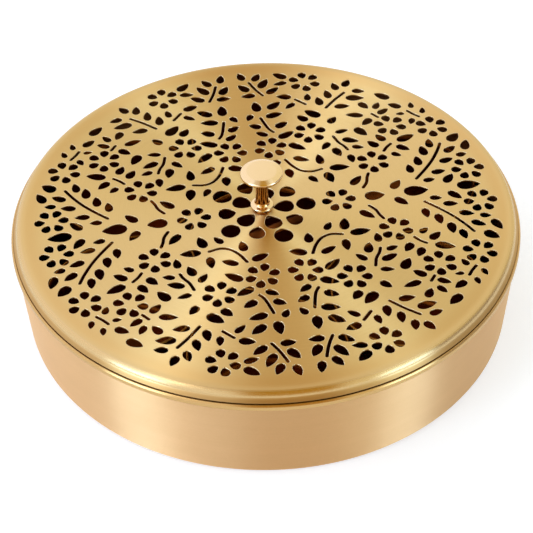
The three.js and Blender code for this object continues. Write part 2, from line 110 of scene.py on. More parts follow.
# One quarter of the pattern: each sprig is a curved stem and its leaves. A leaf is its
# round end x, y, its pointed end x, y, and its width.
SPRIGS = [
    (  # curl round the middle
        [(16.6, 34.5), (19.2, 29), (22.9, 24.8), (27.5, 23.2), (32.8, 24.2)],
        [
            (16.5, 27.1, 16.9, 20.4, 4.2), (14, 33.8, 6, 31, 4.4), (25.7, 19.8, 29, 14.9, 3.4),
            (34.4, 21.2, 36.1, 13.4, 4.7), (36.7, 24.1, 46.5, 23.6, 4.6),
            (33.2, 27.9, 33.2, 35.5, 4), (20.8, 35.2, 28, 31.8, 3.7), (20.6, 46.2, 28, 40.6, 4.4),
        ],
    ),
    (  # small twig beside the inner pod
        [(49.6, 6.7), (52, 10.2), (53.1, 13.9), (54.4, 16.8)],
        [(44.4, 9.7, 50.4, 15.6, 4), (63, 3.4, 68.1, 9, 4.2)],
    ),
    (  # middle sprig
        [(48.3, 36.5), (47.2, 39.5), (44.9, 43.2), (43.5, 48)],
        [
            (48.6, 32.5, 48.8, 26.3, 3.7), (42, 38.9, 43.9, 32.2, 4.3),
            (40.4, 43.6, 36.1, 38.8, 3.4), (51, 38.4, 56.5, 36.8, 3.1),
            (47.4, 44.9, 55.1, 42, 4), (45.2, 50.7, 51.7, 51.9, 3),
            (55.5, 52.5, 60, 45.9, 4.9), (43.4, 58.8, 47.7, 63.2, 3.9),
        ],
    ),
    (  # long sprig beside the pods
        [(76.4, 8.6), (82.6, 15.2), (87.5, 21.3), (91.6, 27.8), (94.3, 33.1)],
        [
            (79.5, 6.4, 85.2, 7.1, 3.2), (89.3, 3.4, 94.5, 9.2, 4.2),
            (84.8, 11.6, 91.8, 12.5, 3.6), (90.7, 19, 97.7, 20.9, 3.8),
            (100, 22.5, 105.2, 23.5, 3.3), (94.9, 26, 101, 29.8, 3.9),
            (105, 26.4, 107.8, 33.7, 4.4), (99, 34.2, 104.9, 39.4, 5.2),
            (75, 13.4, 75.1, 19.9, 3.8), (80.2, 18.3, 80.3, 25.3, 4.1),
            (84.8, 25.3, 84.5, 32.7, 4.3), (88.7, 30.8, 89.4, 37.5, 3.8),
        ],
    ),
    (  # short twig between two flowers
        [(65.6, 32.2), (67.6, 34.8), (70.3, 37.2)],
        [
            (69, 29.9, 73.2, 27.1, 3.2), (72.7, 35.1, 78.4, 30.9, 4), (74, 38.8, 83, 42.2, 4.7),
            (63.6, 36, 59.4, 41.1, 4.2), (67.9, 40, 64.5, 45.4, 4.1),
        ],
    ),
    (  # twig inside the diagonal flower
        [(68.7, 59.2), (66.3, 62.4)],
        [
            (65, 58.7, 59.8, 54.3, 4), (69.4, 61.8, 75.1, 65.1, 3.5), (61.6, 61.9, 53.2, 64, 3.7),
            (62, 72.6, 65.3, 67.1, 4), (68.4, 66.2, 71.6, 71, 3.3),
        ],
    ),
    (  # twig at the edge
        [(89.2, 56.1), (86.6, 58.8), (84.5, 61.6)],
        [
            (85.7, 55.2, 83.7, 50.8, 3.1), (82.4, 59.9, 78.2, 59.9, 2.3),
            (91.5, 58.4, 92.7, 62.9, 2.7), (87.1, 63.6, 87.6, 68.2, 2.7),
            (82, 65.2, 76.1, 68.8, 4), (77.7, 73.4, 71.2, 78.6, 4.6),
        ],
    ),
    (  # diagonal sprig
        [(44.6, 71.6), (50.2, 77.3), (56.2, 82.4)],
        [
            (47.8, 79.2, 47.3, 86.1, 3.8), (42.3, 74.2, 42, 81.2, 4), (36.5, 79.4, 37.6, 85, 3.3),
            (49, 71.6, 56.7, 71.1, 3.8), (56.2, 77.9, 65.3, 76.2, 4.6),
            (60.6, 83.2, 66.7, 81.6, 3.6), (53, 85.3, 52.1, 91.6, 3.8),
            (57, 87.5, 60.7, 92.7, 3.9),
        ],
    ),
    (  # twig near the second axis
        [(14.8, 57.1), (13, 60), (11.8, 64), (10.5, 69.6)],
        [
            (11.5, 54.9, 6.1, 58.5, 3.6), (9.3, 61.8, 3.8, 64.8, 3.9), (6.4, 73.1, 3.8, 68.5, 3.4),
            (16.6, 51.9, 24.8, 55.6, 4.4), (16.7, 60.6, 23, 63.7, 4.3), (13.4, 69.9, 22, 71.5, 4.3),
        ],
    ),
    (  # outer twig near the second axis
        [(14.9, 88), (12.8, 92), (11.3, 95.6), (9.8, 100.1)],
        [
            (11, 88.9, 3.9, 88.9, 3.9), (17.3, 89.1, 23.9, 93.2, 4.1), (28.8, 96.8, 22, 95.8, 3.5),
            (8.3, 92.7, 4, 99, 4.4), (14.4, 94.4, 19.4, 101.5, 4.4), (12.3, 100.9, 16, 106.7, 4),
            (29.4, 100.4, 23.3, 105.4, 4.5), (7.2, 102.6, 5.6, 109.1, 3.9),
        ],
    ),
    (  # twig between the two, with the widest leaf
        [(34.9, 76.5), (30.6, 81.4)],
        [
            (29.5, 78.5, 24.4, 74.7, 3.2), (10.1, 75, 9.6, 83.2, 4.7), (15.4, 76.3, 22.4, 80.8, 4.5),
            (33.2, 62.9, 29, 67.8, 4.3), (40.1, 65.1, 33.5, 71.3, 5.2), (28.8, 83.6, 21.6, 85.8, 4.2),
        ],
    ),
]
ROSETTE_COUNT = 5
# distance from the middle, length, width, how pointed
ROSETTE_INNER = (10.4, 9.8, 8.1, 0.65)
ROSETTE_OUTER = (21.2, 9.2, 8.8, 0.15)
ROSETTE_BETWEEN = (16.9, 8.2, 7.4, 0.5)


def polar(r, angle):
    return np.array([r * math.cos(angle), r * math.sin(angle)])


def circle(r, count):
    return np.array([polar(r, 2 * math.pi * k / count) for k in range(count)])


def turned(points, angle):
    c, s = math.cos(angle), math.sin(angle)
    return points @ np.array([[c, s], [-s, c]])


def drop(round_end, tip, width, pointed=LEAF_POINTED, count=LEAF_STEPS):
    """Outline of a leaf or petal: round at one end, drawn to a point at the other."""
    round_end, tip = np.asarray(round_end, float), np.asarray(tip, float)
    t = np.arange(count) * 2 * math.pi / count
    fat = np.sin(t) * np.abs(np.sin(t / 2)) ** pointed
    fat *= (width / 2 + SAW_ALLOWANCE) / np.abs(fat).max()
    middle, along = (round_end + tip) / 2, (tip - round_end) / 2
    way = along / np.linalg.norm(along)
    along = along + way * SAW_ALLOWANCE
    side = np.array([-way[1], way[0]])
    return middle + np.outer(np.cos(t), along) + np.outer(fat, side)


def smooth_line(points, per_span=4):
    """Catmull-Rom curve through a few points."""
    p = np.asarray(points, float)
    p = np.vstack([2 * p[0] - p[1], p, 2 * p[-1] - p[-2]])
    out = []
    for i in range(1, len(p) - 2):
        for k in range(per_span):
            t = k / per_span
            out.append(0.5 * (2 * p[i] + (p[i + 1] - p[i - 1]) * t
                              + (2 * p[i - 1] - 5 * p[i] + 4 * p[i + 1] - p[i + 2]) * t ** 2
                              + (3 * p[i] - p[i - 1] - 3 * p[i + 1] + p[i + 2]) * t ** 3))
    out.append(p[-2])
    return np.array(out)


def slot(points, width, cap_steps=4):
    """Outline of a narrow slot with round ends along a curve."""
    line = smooth_line(points)
    way = np.gradient(line, axis=0)
    way /= np.linalg.norm(way, axis=1)[:, None]
    side = np.column_stack([-way[:, 1], way[:, 0]]) * width / 2
    right, left = line - side, (line + side)[::-1]

    def cap(centre, start):
        turn = [math.pi * k / cap_steps for k in range(1, cap_steps)]
        return np.array([centre + turned(start[None], a)[0] for a in turn])

    return np.vstack([right, cap(line[-1], -side[-1]), left, cap(line[0], side[0])])


def flower(spot):
    r, degrees, first = spot
    centre = polar(r, math.radians(degrees))
    petals = []
    for i in range(PETAL_COUNT):
        way = polar(1, math.radians(first + 360 / PETAL_COUNT * i))
        petals.append(drop(centre + way * (PETAL_RING_R + PETAL_LONG / 2),
                           centre + way * (PETAL_RING_R - PETAL_LONG / 2),
                           PETAL_WIDE, PETAL_POINTED, PETAL_STEPS))
    return petals


def quarter_holes():
    holes = [petal for spot in FLOWERS for petal in flower(spot)]
    for stem, leaves in SPRIGS:
        holes.append(slot(stem, STEM_WIDTH + 2 * SAW_ALLOWANCE))
        holes += [drop(leaf[0:2], leaf[2:4], leaf[4]) for leaf in leaves]
    return holes


def axis_holes():
    pods = [drop((inner, 0), (outer, 0), width) for inner, outer, width in AXIS_PODS]
    return flower(AXIS_FLOWER) + pods


def rosette_holes():
    holes = []
    step = 2 * math.pi / ROSETTE_COUNT
    for i in range(ROSETTE_COUNT):
        for (r, long, wide, pointed), angle in ((ROSETTE_INNER, i * step),
                                                (ROSETTE_OUTER, i * step),
                                                (ROSETTE_BETWEEN, (i + 0.5) * step)):
            holes.append(drop(polar(r + long / 2, angle), polar(r - long / 2, angle),
                              wide, pointed, ROSETTE_STEPS))
    return holes


def anticlockwise(outline):
    x, y = outline.T
    area = np.dot(x, np.roll(y, -1)) - np.dot(y, np.roll(x, -1))
    return outline if area > 0 else outline[::-1]


def all_holes():
    """Outlines of all the holes of the pattern in the lid's place, anticlockwise."""
    rosette = [turned(h, PATTERN_TURN) + MIDDLE for h in rosette_holes()]
    spread = []
    for sx in (1, -1):
        spread += [(h - (MIRROR_X, 0)) * (sx, 1) for h in axis_holes()]
        for sy in (1, -1):
            spread += [(h - (MIRROR_X, 0)) * (sx, sy) for h in quarter_holes()]
    placed = [turned(h, PATTERN_TURN) + PATTERN_OFFSET for h in spread]
    return [anticlockwise(h) for h in rosette + placed]


def outward_normals(outline):
    """Unit normals of an anticlockwise outline, pointing away from its inside."""
    edge = np.roll(outline, -1, 0) - outline
    edge /= np.linalg.norm(edge, axis=1)[:, None]
    normal = np.column_stack([edge[:, 1], -edge[:, 0]])
    both = normal + np.roll(normal, 1, 0)
    return both / np.linalg.norm(both, axis=1)[:, None]


# ------------------------------------------------------------------ mesh helpers
SHARP_ANGLE = math.radians(35)
# How much shade is painted on insides and undersides.
INSIDE_PAINTED_SHADE = 0.9                         # see keep_turn


def link(name, mesh):
    piece = bpy.data.objects.new(name, mesh)
    bpy.context.scene.collection.objects.link(piece)
    return piece


def keep_turn(mesh, turn):
    """Stores radius, height (mm) and painted light of each vertex for the materials.

    Painted light is 1 for painted shade in holes and hollows, 0 on plain metal and -1 for a
    painted highlight on edges. The spoon has lengths along and across it for radius and height.
    """
    layer = mesh.attributes.new("turn", "FLOAT_VECTOR", "POINT")
    layer.data.foreach_set("vector", np.asarray(turn, np.float32).ravel())


def rounded(corners, closed=False, steps=5):
    """Profile corners (r, z, fillet) as points, each fillet an arc."""
    points = []
    count = len(corners)
    for i, (r, z, fillet) in enumerate(corners):
        if fillet == 0 or (not closed and i in (0, count - 1)):
            points.append((r, z))
            continue
        p = Vector((r, z))
        before = Vector(corners[i - 1][:2]) - p
        after = Vector(corners[(i + 1) % count][:2]) - p
        half = before.angle(after) / 2
        cut = min(fillet / math.tan(half), 0.49 * before.length, 0.49 * after.length)
        radius = cut * math.tan(half)
        middle = (before.normalized() + after.normalized()).normalized()
        centre = p + middle * radius / math.sin(half)
        start, end = p + before.normalized() * cut - centre, p + after.normalized() * cut - centre
        sweep = start.angle_signed(end)
        for k in range(steps + 1):
            angle = -sweep * k / steps
            c, s = math.cos(angle), math.sin(angle)
            points.append((centre.x + start.x * c - start.y * s,
                           centre.y + start.x * s + start.y * c))
    return points


def lathe(name, profile, segments, closed=False, painted_light=None, at=(0, 0, 0)):
    """Body of revolution about an upright axis at a place, from an anticlockwise profile.

    A profile that isn't closed starts and ends on the axis.
    """
    verts, turn, rings = [], [], []
    for i, (r, z) in enumerate(profile):
        first = len(verts)
        count = 1 if r < 1e-6 else segments
        for k in range(count):
            a = 2 * math.pi * k / segments
            verts.append(((at[0] + r * math.cos(a)) * MM, (at[1] + r * math.sin(a)) * MM,
                          (at[2] + z) * MM))
            turn.append((r, z, painted_light[i] if painted_light else 0))
        rings.append((first, count))
    faces = []
    pairs = list(zip(rings, rings[1:] + rings[:1] if closed else rings[1:]))
    for (a, na), (b, nb) in pairs:
        for k in range(segments):
            j = (k + 1) % segments
            if na > 1 and nb > 1:
                faces.append((a + k, a + j, b + j, b + k))
            elif na > 1:
                faces.append((a + k, a + j, b))
            elif nb > 1:
                faces.append((a, b + j, b + k))
    mesh = bpy.data.meshes.new(name)
    mesh.from_pydata(verts, [], faces)
    mesh.shade_smooth()
    mesh.set_sharp_from_angle(angle=SHARP_ANGLE)
    keep_turn(mesh, turn)
    return link(name, mesh)


# ------------------------------------------------------------------ lid
FILLER_SPACING = 4.2
FILLER_FROM_EDGE, FILLER_FROM_HOLE = 1.6, 1.0
HOLE_BEVEL, UNDER_BEVEL = 0.25, 0.1       # broken edges of the holes, above and below
BEVEL_BULGE = 0.3                         # the middle of a bevel is pushed out: 0.5 is straight
HEM_OUTER_ROUND, HEM_INNER_ROUND = 0.15, 0.3
# Painted shade at the top of each hole's wall, and growing towards the foot of the skirt.
HOLE_TOP_PAINTED_SHADE, SKIRT_FOOT_PAINTED_SHADE = 0.4, 0.3


def lid_top(r):
    return LID_EDGE_Z + LID_RISE * (1 - (r / SHOULDER_R) ** 2)


def lid_slope(points):
    """Unit normal of the lid's dome at points given in mm."""
    r = np.linalg.norm(points, axis=1)
    slope = 2 * LID_RISE * r / SHOULDER_R ** 2
    way = points / np.maximum(r, 1e-9)[:, None]
    normal = np.column_stack([way * slope[:, None], np.ones(len(points))])
    return normal / np.linalg.norm(normal, axis=1)[:, None]


def filler_points(outlines):
    """Points between the holes, so that the plate's triangles stay small."""
    near = np.vstack(outlines)
    tree = KDTree(len(near))
    owner = np.concatenate([np.full(len(o), i) for i, o in enumerate(outlines)])
    for i, (x, y) in enumerate(near):
        tree.insert((x, y, 0), i)
    tree.balance()
    found = []
    row_height = FILLER_SPACING * 0.866   # rows of even triangles
    rows = int(PLATE_R / row_height)
    for row in range(-rows, rows + 1):
        for col in range(-rows, rows + 1):
            x, y = (col + 0.5 * (row % 2)) * FILLER_SPACING, row * row_height
            if math.hypot(x, y) > PLATE_R - FILLER_FROM_EDGE:
                continue
            _, index, distance = tree.find((x, y, 0))
            if distance < FILLER_FROM_HOLE or inside(outlines[owner[index]], x, y):
                continue
            found.append((x, y))
    return np.array(found)


def inside(outline, x, y):
    x0, y0 = outline.T
    x1, y1 = np.roll(x0, -1), np.roll(y0, -1)
    crosses = (y0 > y) != (y1 > y)
    with np.errstate(divide="ignore", invalid="ignore"):
        at = x0 + (y - y0) * (x1 - x0) / (y1 - y0)
    return int(np.count_nonzero(crosses & (x < at))) % 2 == 1


def plate_triangles(outer, holes):
    """Points of the flat plate, the (first, count) of each outline, and the triangles."""
    flat = np.vstack([outer] + holes + [filler_points(holes)])
    loops, start = [], 0
    for ring in [outer] + holes:
        loops.append((start, len(ring)))
        start += len(ring)
    edges = [(s + k, s + (k + 1) % n) for s, n in loops for k in range(n)]
    owner = np.full(len(flat), -1)
    for i, (s, n) in enumerate(loops):
        owner[s:s + n] = i
    made = delaunay_2d_cdt([Vector(p) for p in flat], edges, [], 0, 1e-6)
    source = [ids[0] if ids else None for ids in made[3]]
    assert None not in source and len(source) == len(flat), "the holes touch"
    triangles = []
    for face in made[2]:
        a, b, c = (source[i] for i in face)
        hole = owner[a]
        if hole > 0 and hole == owner[b] == owner[c]:
            x, y = (flat[a] + flat[b] + flat[c]) / 3
            if inside(holes[hole - 1], x, y):
                continue
        triangles.append((a, b, c))
    return flat, loops, np.array(triangles)


def rim_profile():
    """Section of the lid's rim, from the plate's upper edge round to its lower edge, and the
    painted shade at each point: more towards the foot of the skirt, and most on the inside."""
    arc_z = LID_EDGE_Z - SHOULDER_ROUND

    def arc(radius, angles):
        return [(SHOULDER_R + radius * math.cos(a), arc_z + radius * math.sin(a)) for a in angles]

    outer_arc = arc(SHOULDER_ROUND, np.linspace(math.pi / 2, 0, 13))
    inner_arc = arc(SHOULDER_ROUND - LID_SHEET, np.linspace(0, math.pi / 2, 9))
    hem = rounded([outer_arc[-1] + (0,), (SKIRT_R, SKIRT_Z, HEM_OUTER_ROUND),
                   (SKIRT_R - LID_SHEET, SKIRT_Z, HEM_INNER_ROUND), inner_arc[0] + (0,)], steps=4)
    border = [(r, lid_top(r)) for r in np.linspace(PLATE_R, SHOULDER_R, 4)[1:-1]]
    inside_border = [(r, z - LID_SHEET) for r, z in border[::-1]]
    profile = border + outer_arc[:-1] + hem + inner_arc[1:] + inside_border
    height = np.array([z for _, z in profile])
    clean_above = arc_z + 1
    painted_light = np.clip((clean_above - height) / (clean_above - SKIRT_Z), 0, 1) * SKIRT_FOOT_PAINTED_SHADE
    painted_light[len(profile) - len(inside_border) - len(inner_arc) + 1:] = INSIDE_PAINTED_SHADE
    return profile, painted_light


def make_lid():
    """The pierced lid as one sheet: plate with holes, rounded shoulder and skirt."""
    outlines = all_holes() + [circle(SCREW_HOLE_R, SCREW_HOLE_STEPS) + MIDDLE]
    ways = [outward_normals(o) for o in outlines]
    bevelled = [o + w * HOLE_BEVEL for o, w in zip(outlines, ways)]
    flat, loops, triangles = plate_triangles(circle(PLATE_R, RIM_SEGMENTS), bevelled)

    # Layers of vertices: the plate's top, then four rings down each hole, then its underside.
    verts, normals, painted_light = [], [], []

    def layer(xy, dz, normal, share):
        z = lid_top(np.linalg.norm(xy, axis=1)) + dz
        verts.append(np.column_stack([xy, z]))
        normals.append(normal)
        painted_light.append(np.full(len(xy), share))

    up = lid_slope(flat)
    layer(flat, 0, up, 0)
    hole_part = slice(loops[1][0], loops[-1][0] + loops[-1][1])
    base = np.vstack(outlines)
    way = np.vstack(ways)
    into = np.column_stack([-way, np.zeros(len(way))])
    top = up[hole_part]
    mid = top + into
    mid /= np.linalg.norm(mid, axis=1)[:, None]
    low = into - top
    low /= np.linalg.norm(low, axis=1)[:, None]
    # The bevel's middle ring gets a painted highlight, the hole's wall and underside painted shade.
    layer(base + way * HOLE_BEVEL * BEVEL_BULGE, -HOLE_BEVEL * BEVEL_BULGE, mid, -1)
    layer(base, -HOLE_BEVEL, into, HOLE_TOP_PAINTED_SHADE)
    layer(base, -(LID_SHEET - UNDER_BEVEL), into, 1)
    layer(base + way * UNDER_BEVEL * BEVEL_BULGE, -(LID_SHEET - UNDER_BEVEL * BEVEL_BULGE), low, 1)
    under_flat = flat.copy()
    under_flat[hole_part] = base + way * UNDER_BEVEL
    layer(under_flat, -LID_SHEET, -lid_slope(under_flat), INSIDE_PAINTED_SHADE)
    offsets = np.cumsum([0] + [len(v) for v in verts])
    underside = offsets[5]

    faces = [triangles, triangles[:, ::-1] + underside]
    first_hole = loops[1][0]
    starts = [0] + [offset - first_hole for offset in offsets[1:5]] + [underside]
    for upper, lower in zip(starts, starts[1:]):
        for s, n in loops[1:]:
            a = s + np.arange(n)
            b = s + (np.arange(n) + 1) % n
            faces.append(np.column_stack([a + upper, b + upper, b + lower]))
            faces.append(np.column_stack([a + upper, b + lower, a + lower]))

    # The rim is lathed from the plate's upper edge round to its lower edge.
    profile, rim_painted_light = rim_profile()
    full = [(PLATE_R, lid_top(PLATE_R))] + profile + [(PLATE_R, lid_top(PLATE_R) - LID_SHEET)]
    rim_start = offsets[6]
    spoke = circle(1, RIM_SEGMENTS)
    for i, (r, z) in enumerate(profile):
        tangent = np.array(full[i + 2]) - np.array(full[i])
        n_r, n_z = -tangent[1], tangent[0]
        size = math.hypot(n_r, n_z)
        verts.append(np.column_stack([spoke * r, np.full(RIM_SEGMENTS, z)]))
        normals.append(np.column_stack([spoke * n_r / size, np.full(RIM_SEGMENTS, n_z / size)]))
    painted_light.append(np.repeat(rim_painted_light, RIM_SEGMENTS))
    ring_starts = [0] + [rim_start + i * RIM_SEGMENTS for i in range(len(profile))] + [underside]
    k = np.arange(RIM_SEGMENTS)
    j = (k + 1) % RIM_SEGMENTS
    for a, b in zip(ring_starts, ring_starts[1:]):
        faces.append(np.column_stack([a + k, b + k, b + j]))
        faces.append(np.column_stack([a + k, b + j, a + j]))

    verts, normals, faces = np.vstack(verts), np.vstack(normals), np.vstack(faces)
    mesh = bpy.data.meshes.new("lid_sheet")
    mesh.from_pydata((verts * MM).tolist(), [], faces.tolist())
    mesh.shade_smooth()
    mesh.normals_split_custom_set(normals[faces.ravel()].tolist())
    radius = np.linalg.norm(verts[:, :2], axis=1)
    keep_turn(mesh, np.column_stack([radius, verts[:, 2], np.concatenate(painted_light)]))
    return link("lid_sheet", mesh)


# ------------------------------------------------------------------ box
FOOT_RING_DEEP = 0.35                     # the bottom is pressed up inside its foot ring
BEAD_FOOT_Z, BEAD_TOP_Z = NECK_TOP - 7.1, NECK_TOP - 3.3
# Painted shade in the groove between the bead and the neck.
GROOVE_DEEP, GROOVE_PAINTED_SHADE = 0.15, 0.15     # between the bead and the neck


def make_box():
    """Spun box: leaning wall, swaged bead that the lid stands on, and neck inside the lid."""
    wall_foot, wall_head = BEAD_R - 4.2, BEAD_R - 1.1
    crest, neck = BEAD_R - 0.6, BEAD_R - 4.2
    groove_z = BEAD_TOP_Z - GROOVE_DEEP
    corners = [
        # bottom
        (0, FOOT_RING_DEEP, 0), (BEAD_R - 30, FOOT_RING_DEEP, 2), (BEAD_R - 26, 0, 3),
        (wall_foot - 0.25, 0, 3.6),
        # wall and bead
        (wall_head, BEAD_FOOT_Z, 0.5), (wall_head + 0.35, BEAD_FOOT_Z + 0.25, 0.3),
        (BEAD_R, BEAD_FOOT_Z + 0.8, 0.9), (BEAD_R, BEAD_TOP_Z - 0.9, 0.7),
        (crest, BEAD_TOP_Z, 0.4), (crest - 0.6, groove_z, 0.3),
        # neck
        (neck, groove_z, 0.4), (neck, NECK_TOP, 0.45), (neck - SHEET, NECK_TOP, 0.45),
        # inside
        (neck - SHEET, BEAD_TOP_Z - 1.2, 0.8), (wall_head - SHEET, BEAD_FOOT_Z - 0.4, 0.8),
        (wall_foot - 1.25, SHEET, 2.6), (0, SHEET, 0),
    ]
    profile = rounded(corners, steps=6)
    top = max(range(len(profile)), key=lambda i: profile[i][1])
    # Painted shade inside the box and in the groove.
    painted_light = [INSIDE_PAINTED_SHADE if i > top
            else GROOVE_PAINTED_SHADE if r < crest - 0.4 and z > groove_z - 0.2 else 0.0
            for i, (r, z) in enumerate(profile)]
    return lathe("spun_box", profile, RIM_SEGMENTS, painted_light=painted_light)


# ------------------------------------------------------------------ knob and its fixing
STEM_R, KNOB_BASE_R, HEAD_R = 2.8, 5.6, 10.05
SCREW_SHANK_R, SCREW_PITCH, THREAD_DEEP = 1.7, 0.7, 0.25
SCREW_SLOT_HALF, SCREW_SLOT_DEEP = 0.5, 0.9
# How much shade is painted on the washer and the screw, which sit in the shade under the lid.
WASHER_PAINTED_SHADE, SCREW_PAINTED_SHADE = 0.9, 0.8


def make_knob():
    """Turned knob: base, slim stem and domed head, with a blind hole for the screw."""
    foot, head = KNOB_FOOT_Z, KNOB_TOP_Z
    corners = [
        # hole
        (0, foot + 9, 0), (SCREW_HOLE_R, foot + 8, 0.2), (SCREW_HOLE_R, foot, 0.2),
        # base
        (4.9, foot, 0.3), (5.1, foot + 1.5, 0.5), (KNOB_BASE_R, foot + 1.9, 0.5),
        (KNOB_BASE_R, foot + 3.0, 0.8),
        # stem
        (STEM_R + 1.0, foot + 3.7, 0.9), (STEM_R + 0.3, foot + 4.8, 2.5), (STEM_R, foot + 12, 20),
        (STEM_R, head - 6.2, 3), (STEM_R + 1.6, head - 4.4, 2),
        # head
        (7.6, head - 3.4, 4), (HEAD_R, head - 2.6, 0.5), (HEAD_R, head - 1.2, 1.3),
        (7.2, head - 0.15, 3), (3, head, 4), (0, head, 0),
    ]
    profile = rounded(corners, steps=6)
    # Heights between which shade is painted, and how much: under the base, round the stem,
    # under the head.
    hollows = ((foot - 0.1, foot + 1.4, 0.6), (foot + 4.2, head - 4.6, 0.45),
               (head - 4.6, head - 2.4, 0.2))
    painted_light = [max([share for low, high, share in hollows if low < z < high], default=0.0)
            for _, z in profile]
    return lathe("turned_knob", profile, 96, painted_light=painted_light, at=(*MIDDLE, 0))


def make_washer():
    low, high = washer_low.z, washer_high.z
    r = (washer_high.x - washer_low.x) / 2
    corners = [(SCREW_HOLE_R, low, 0.15), (r, low, 0.25), (r, high, 0.25),
               (SCREW_HOLE_R, high, 0.15)]
    profile = rounded(corners, closed=True, steps=3)
    return lathe("flat_washer", profile, 64, closed=True, painted_light=[WASHER_PAINTED_SHADE] * len(profile),
                 at=(*MIDDLE, 0))


def make_screw():
    """Screw with a slotted head below the washer, and a thread made of rings."""
    low, high = screw_low.z, screw_high.z
    r = (screw_high.x - screw_low.x) / 2
    head_top = washer_low.z - GAP
    corners = [(0, low, 0), (r * 0.55, low, 1.5), (r, head_top - 0.7, 0.6), (r, head_top, 0.2),
               (SCREW_SHANK_R, head_top, 0.1)]
    for i in range(int((high - head_top - 0.8) / SCREW_PITCH)):
        z = head_top + 0.3 + i * SCREW_PITCH
        corners += [(SCREW_SHANK_R, z, 0.05),
                    (SCREW_SHANK_R - THREAD_DEEP, z + SCREW_PITCH / 2, 0.05)]
    corners += [(SCREW_SHANK_R - 0.2, high - 0.3, 0.1), (0, high, 0)]
    profile = rounded(corners, steps=3)
    screw = lathe("pan_screw", profile, 48, painted_light=[SCREW_PAINTED_SHADE] * len(profile), at=(*MIDDLE, 0))
    cutter = bpy.data.meshes.new("slot_cutter")
    xs, ys = (-r - 1, r + 1), (-SCREW_SLOT_HALF, SCREW_SLOT_HALF)
    zs = (low - 1, low + SCREW_SLOT_DEEP)
    verts = [((MIDDLE[0] + x) * MM, y * MM, z * MM) for x in xs for y in ys for z in zs]
    faces = [(0, 1, 3, 2), (4, 6, 7, 5), (0, 4, 5, 1), (2, 3, 7, 6), (0, 2, 6, 4), (1, 5, 7, 3)]
    cutter.from_pydata(verts, [], faces)
    tool = link("slot_cutter", cutter)
    cut = screw.modifiers.new("slot", "BOOLEAN")
    cut.object, cut.operation, cut.solver = tool, "DIFFERENCE", "EXACT"
    bpy.context.view_layer.update()
    evaluated = screw.evaluated_get(bpy.context.evaluated_depsgraph_get())
    final = bpy.data.meshes.new_from_object(evaluated)
    screw.modifiers.clear()
    screw.data = final
    bpy.data.objects.remove(tool)
    return screw


# ------------------------------------------------------------------ bowls
# How much shade is painted inside the bowls.
BOWL_PAINTED_SHADE = 0.85


def make_bowl(name, node):
    low, high = node_box(node)
    centre = (low + high) / 2
    r, h = bowl_high.x, bowl_high.z - bowl_low.z
    wall_r, belly_r = r - 1.1, 32.5
    corners = [
        # bottom and wall
        (0, 0.25, 0), (22, 0.25, 1), (24, 0, 1), (29.2, 0, 4), (belly_r, 5.5, 9),
        # rolled lip
        (wall_r, h - 2.2, 3), (r, h - 1.3, 0.7), (r - 0.15, h - 0.2, 0.7), (r - 1.1, h, 0.6),
        # inside
        (wall_r - BOWL_SHEET, h - 1.6, 1.2), (belly_r - BOWL_SHEET, 5.7, 8.2),
        (29, BOWL_SHEET, 3.4), (0, BOWL_SHEET, 0),
    ]
    profile = rounded(corners)
    top = max(range(len(profile)), key=lambda i: profile[i][1])
    painted_light = [BOWL_PAINTED_SHADE if i > top else 0.0 for i in range(len(profile))]
    return lathe(name, profile, 96, painted_light=painted_light, at=(centre.x, centre.y, low.z))


# ------------------------------------------------------------------ spoon
SPOON_LENGTH, SPOON_BOWL = 120.0, 31.0
SPOON_DIRECTION = math.radians(30)        # it lies along this line through the box's middle
SPOON_TIP = 78.0                          # distance of its tip from the middle
SPOON_BOWL_HALF, SPOON_BOWL_DEEP = 11.4, 6.2
HANDLE_HALF, HANDLE_FLARE = 2.3, 2.1      # half its width at the bowl, and how much it grows
HANDLE_ARCH, HANDLE_ARCH_FROM = 2.0, 34
HANDLE_END_ROUND = 4.4
SPOON_EDGE_ROUND = 0.32                   # share of the thickness that an edge loses
SPOON_ACROSS = 17                         # points across it
# How much shade is painted over the whole spoon, which lies in the shade under the lid.
SPOON_PAINTED_SHADE = 0.85


def spoon_half_width(s):
    """Half the spoon's width at a distance from its tip."""
    if s < SPOON_BOWL - 1.5:
        t = (s / SPOON_BOWL) * 2 - 1
        least = 0.6 if s < 5 else HANDLE_HALF
        return max(SPOON_BOWL_HALF * math.sqrt(max(1 - abs(t) ** 2.2, 0)), least)
    end = SPOON_LENGTH - s
    if end < HANDLE_END_ROUND:
        return max(math.sqrt(max(HANDLE_END_ROUND ** 2 - (HANDLE_END_ROUND - end) ** 2, 0)), 0.5)
    return HANDLE_HALF + HANDLE_FLARE * (s - SPOON_BOWL) / (SPOON_LENGTH - SPOON_BOWL)


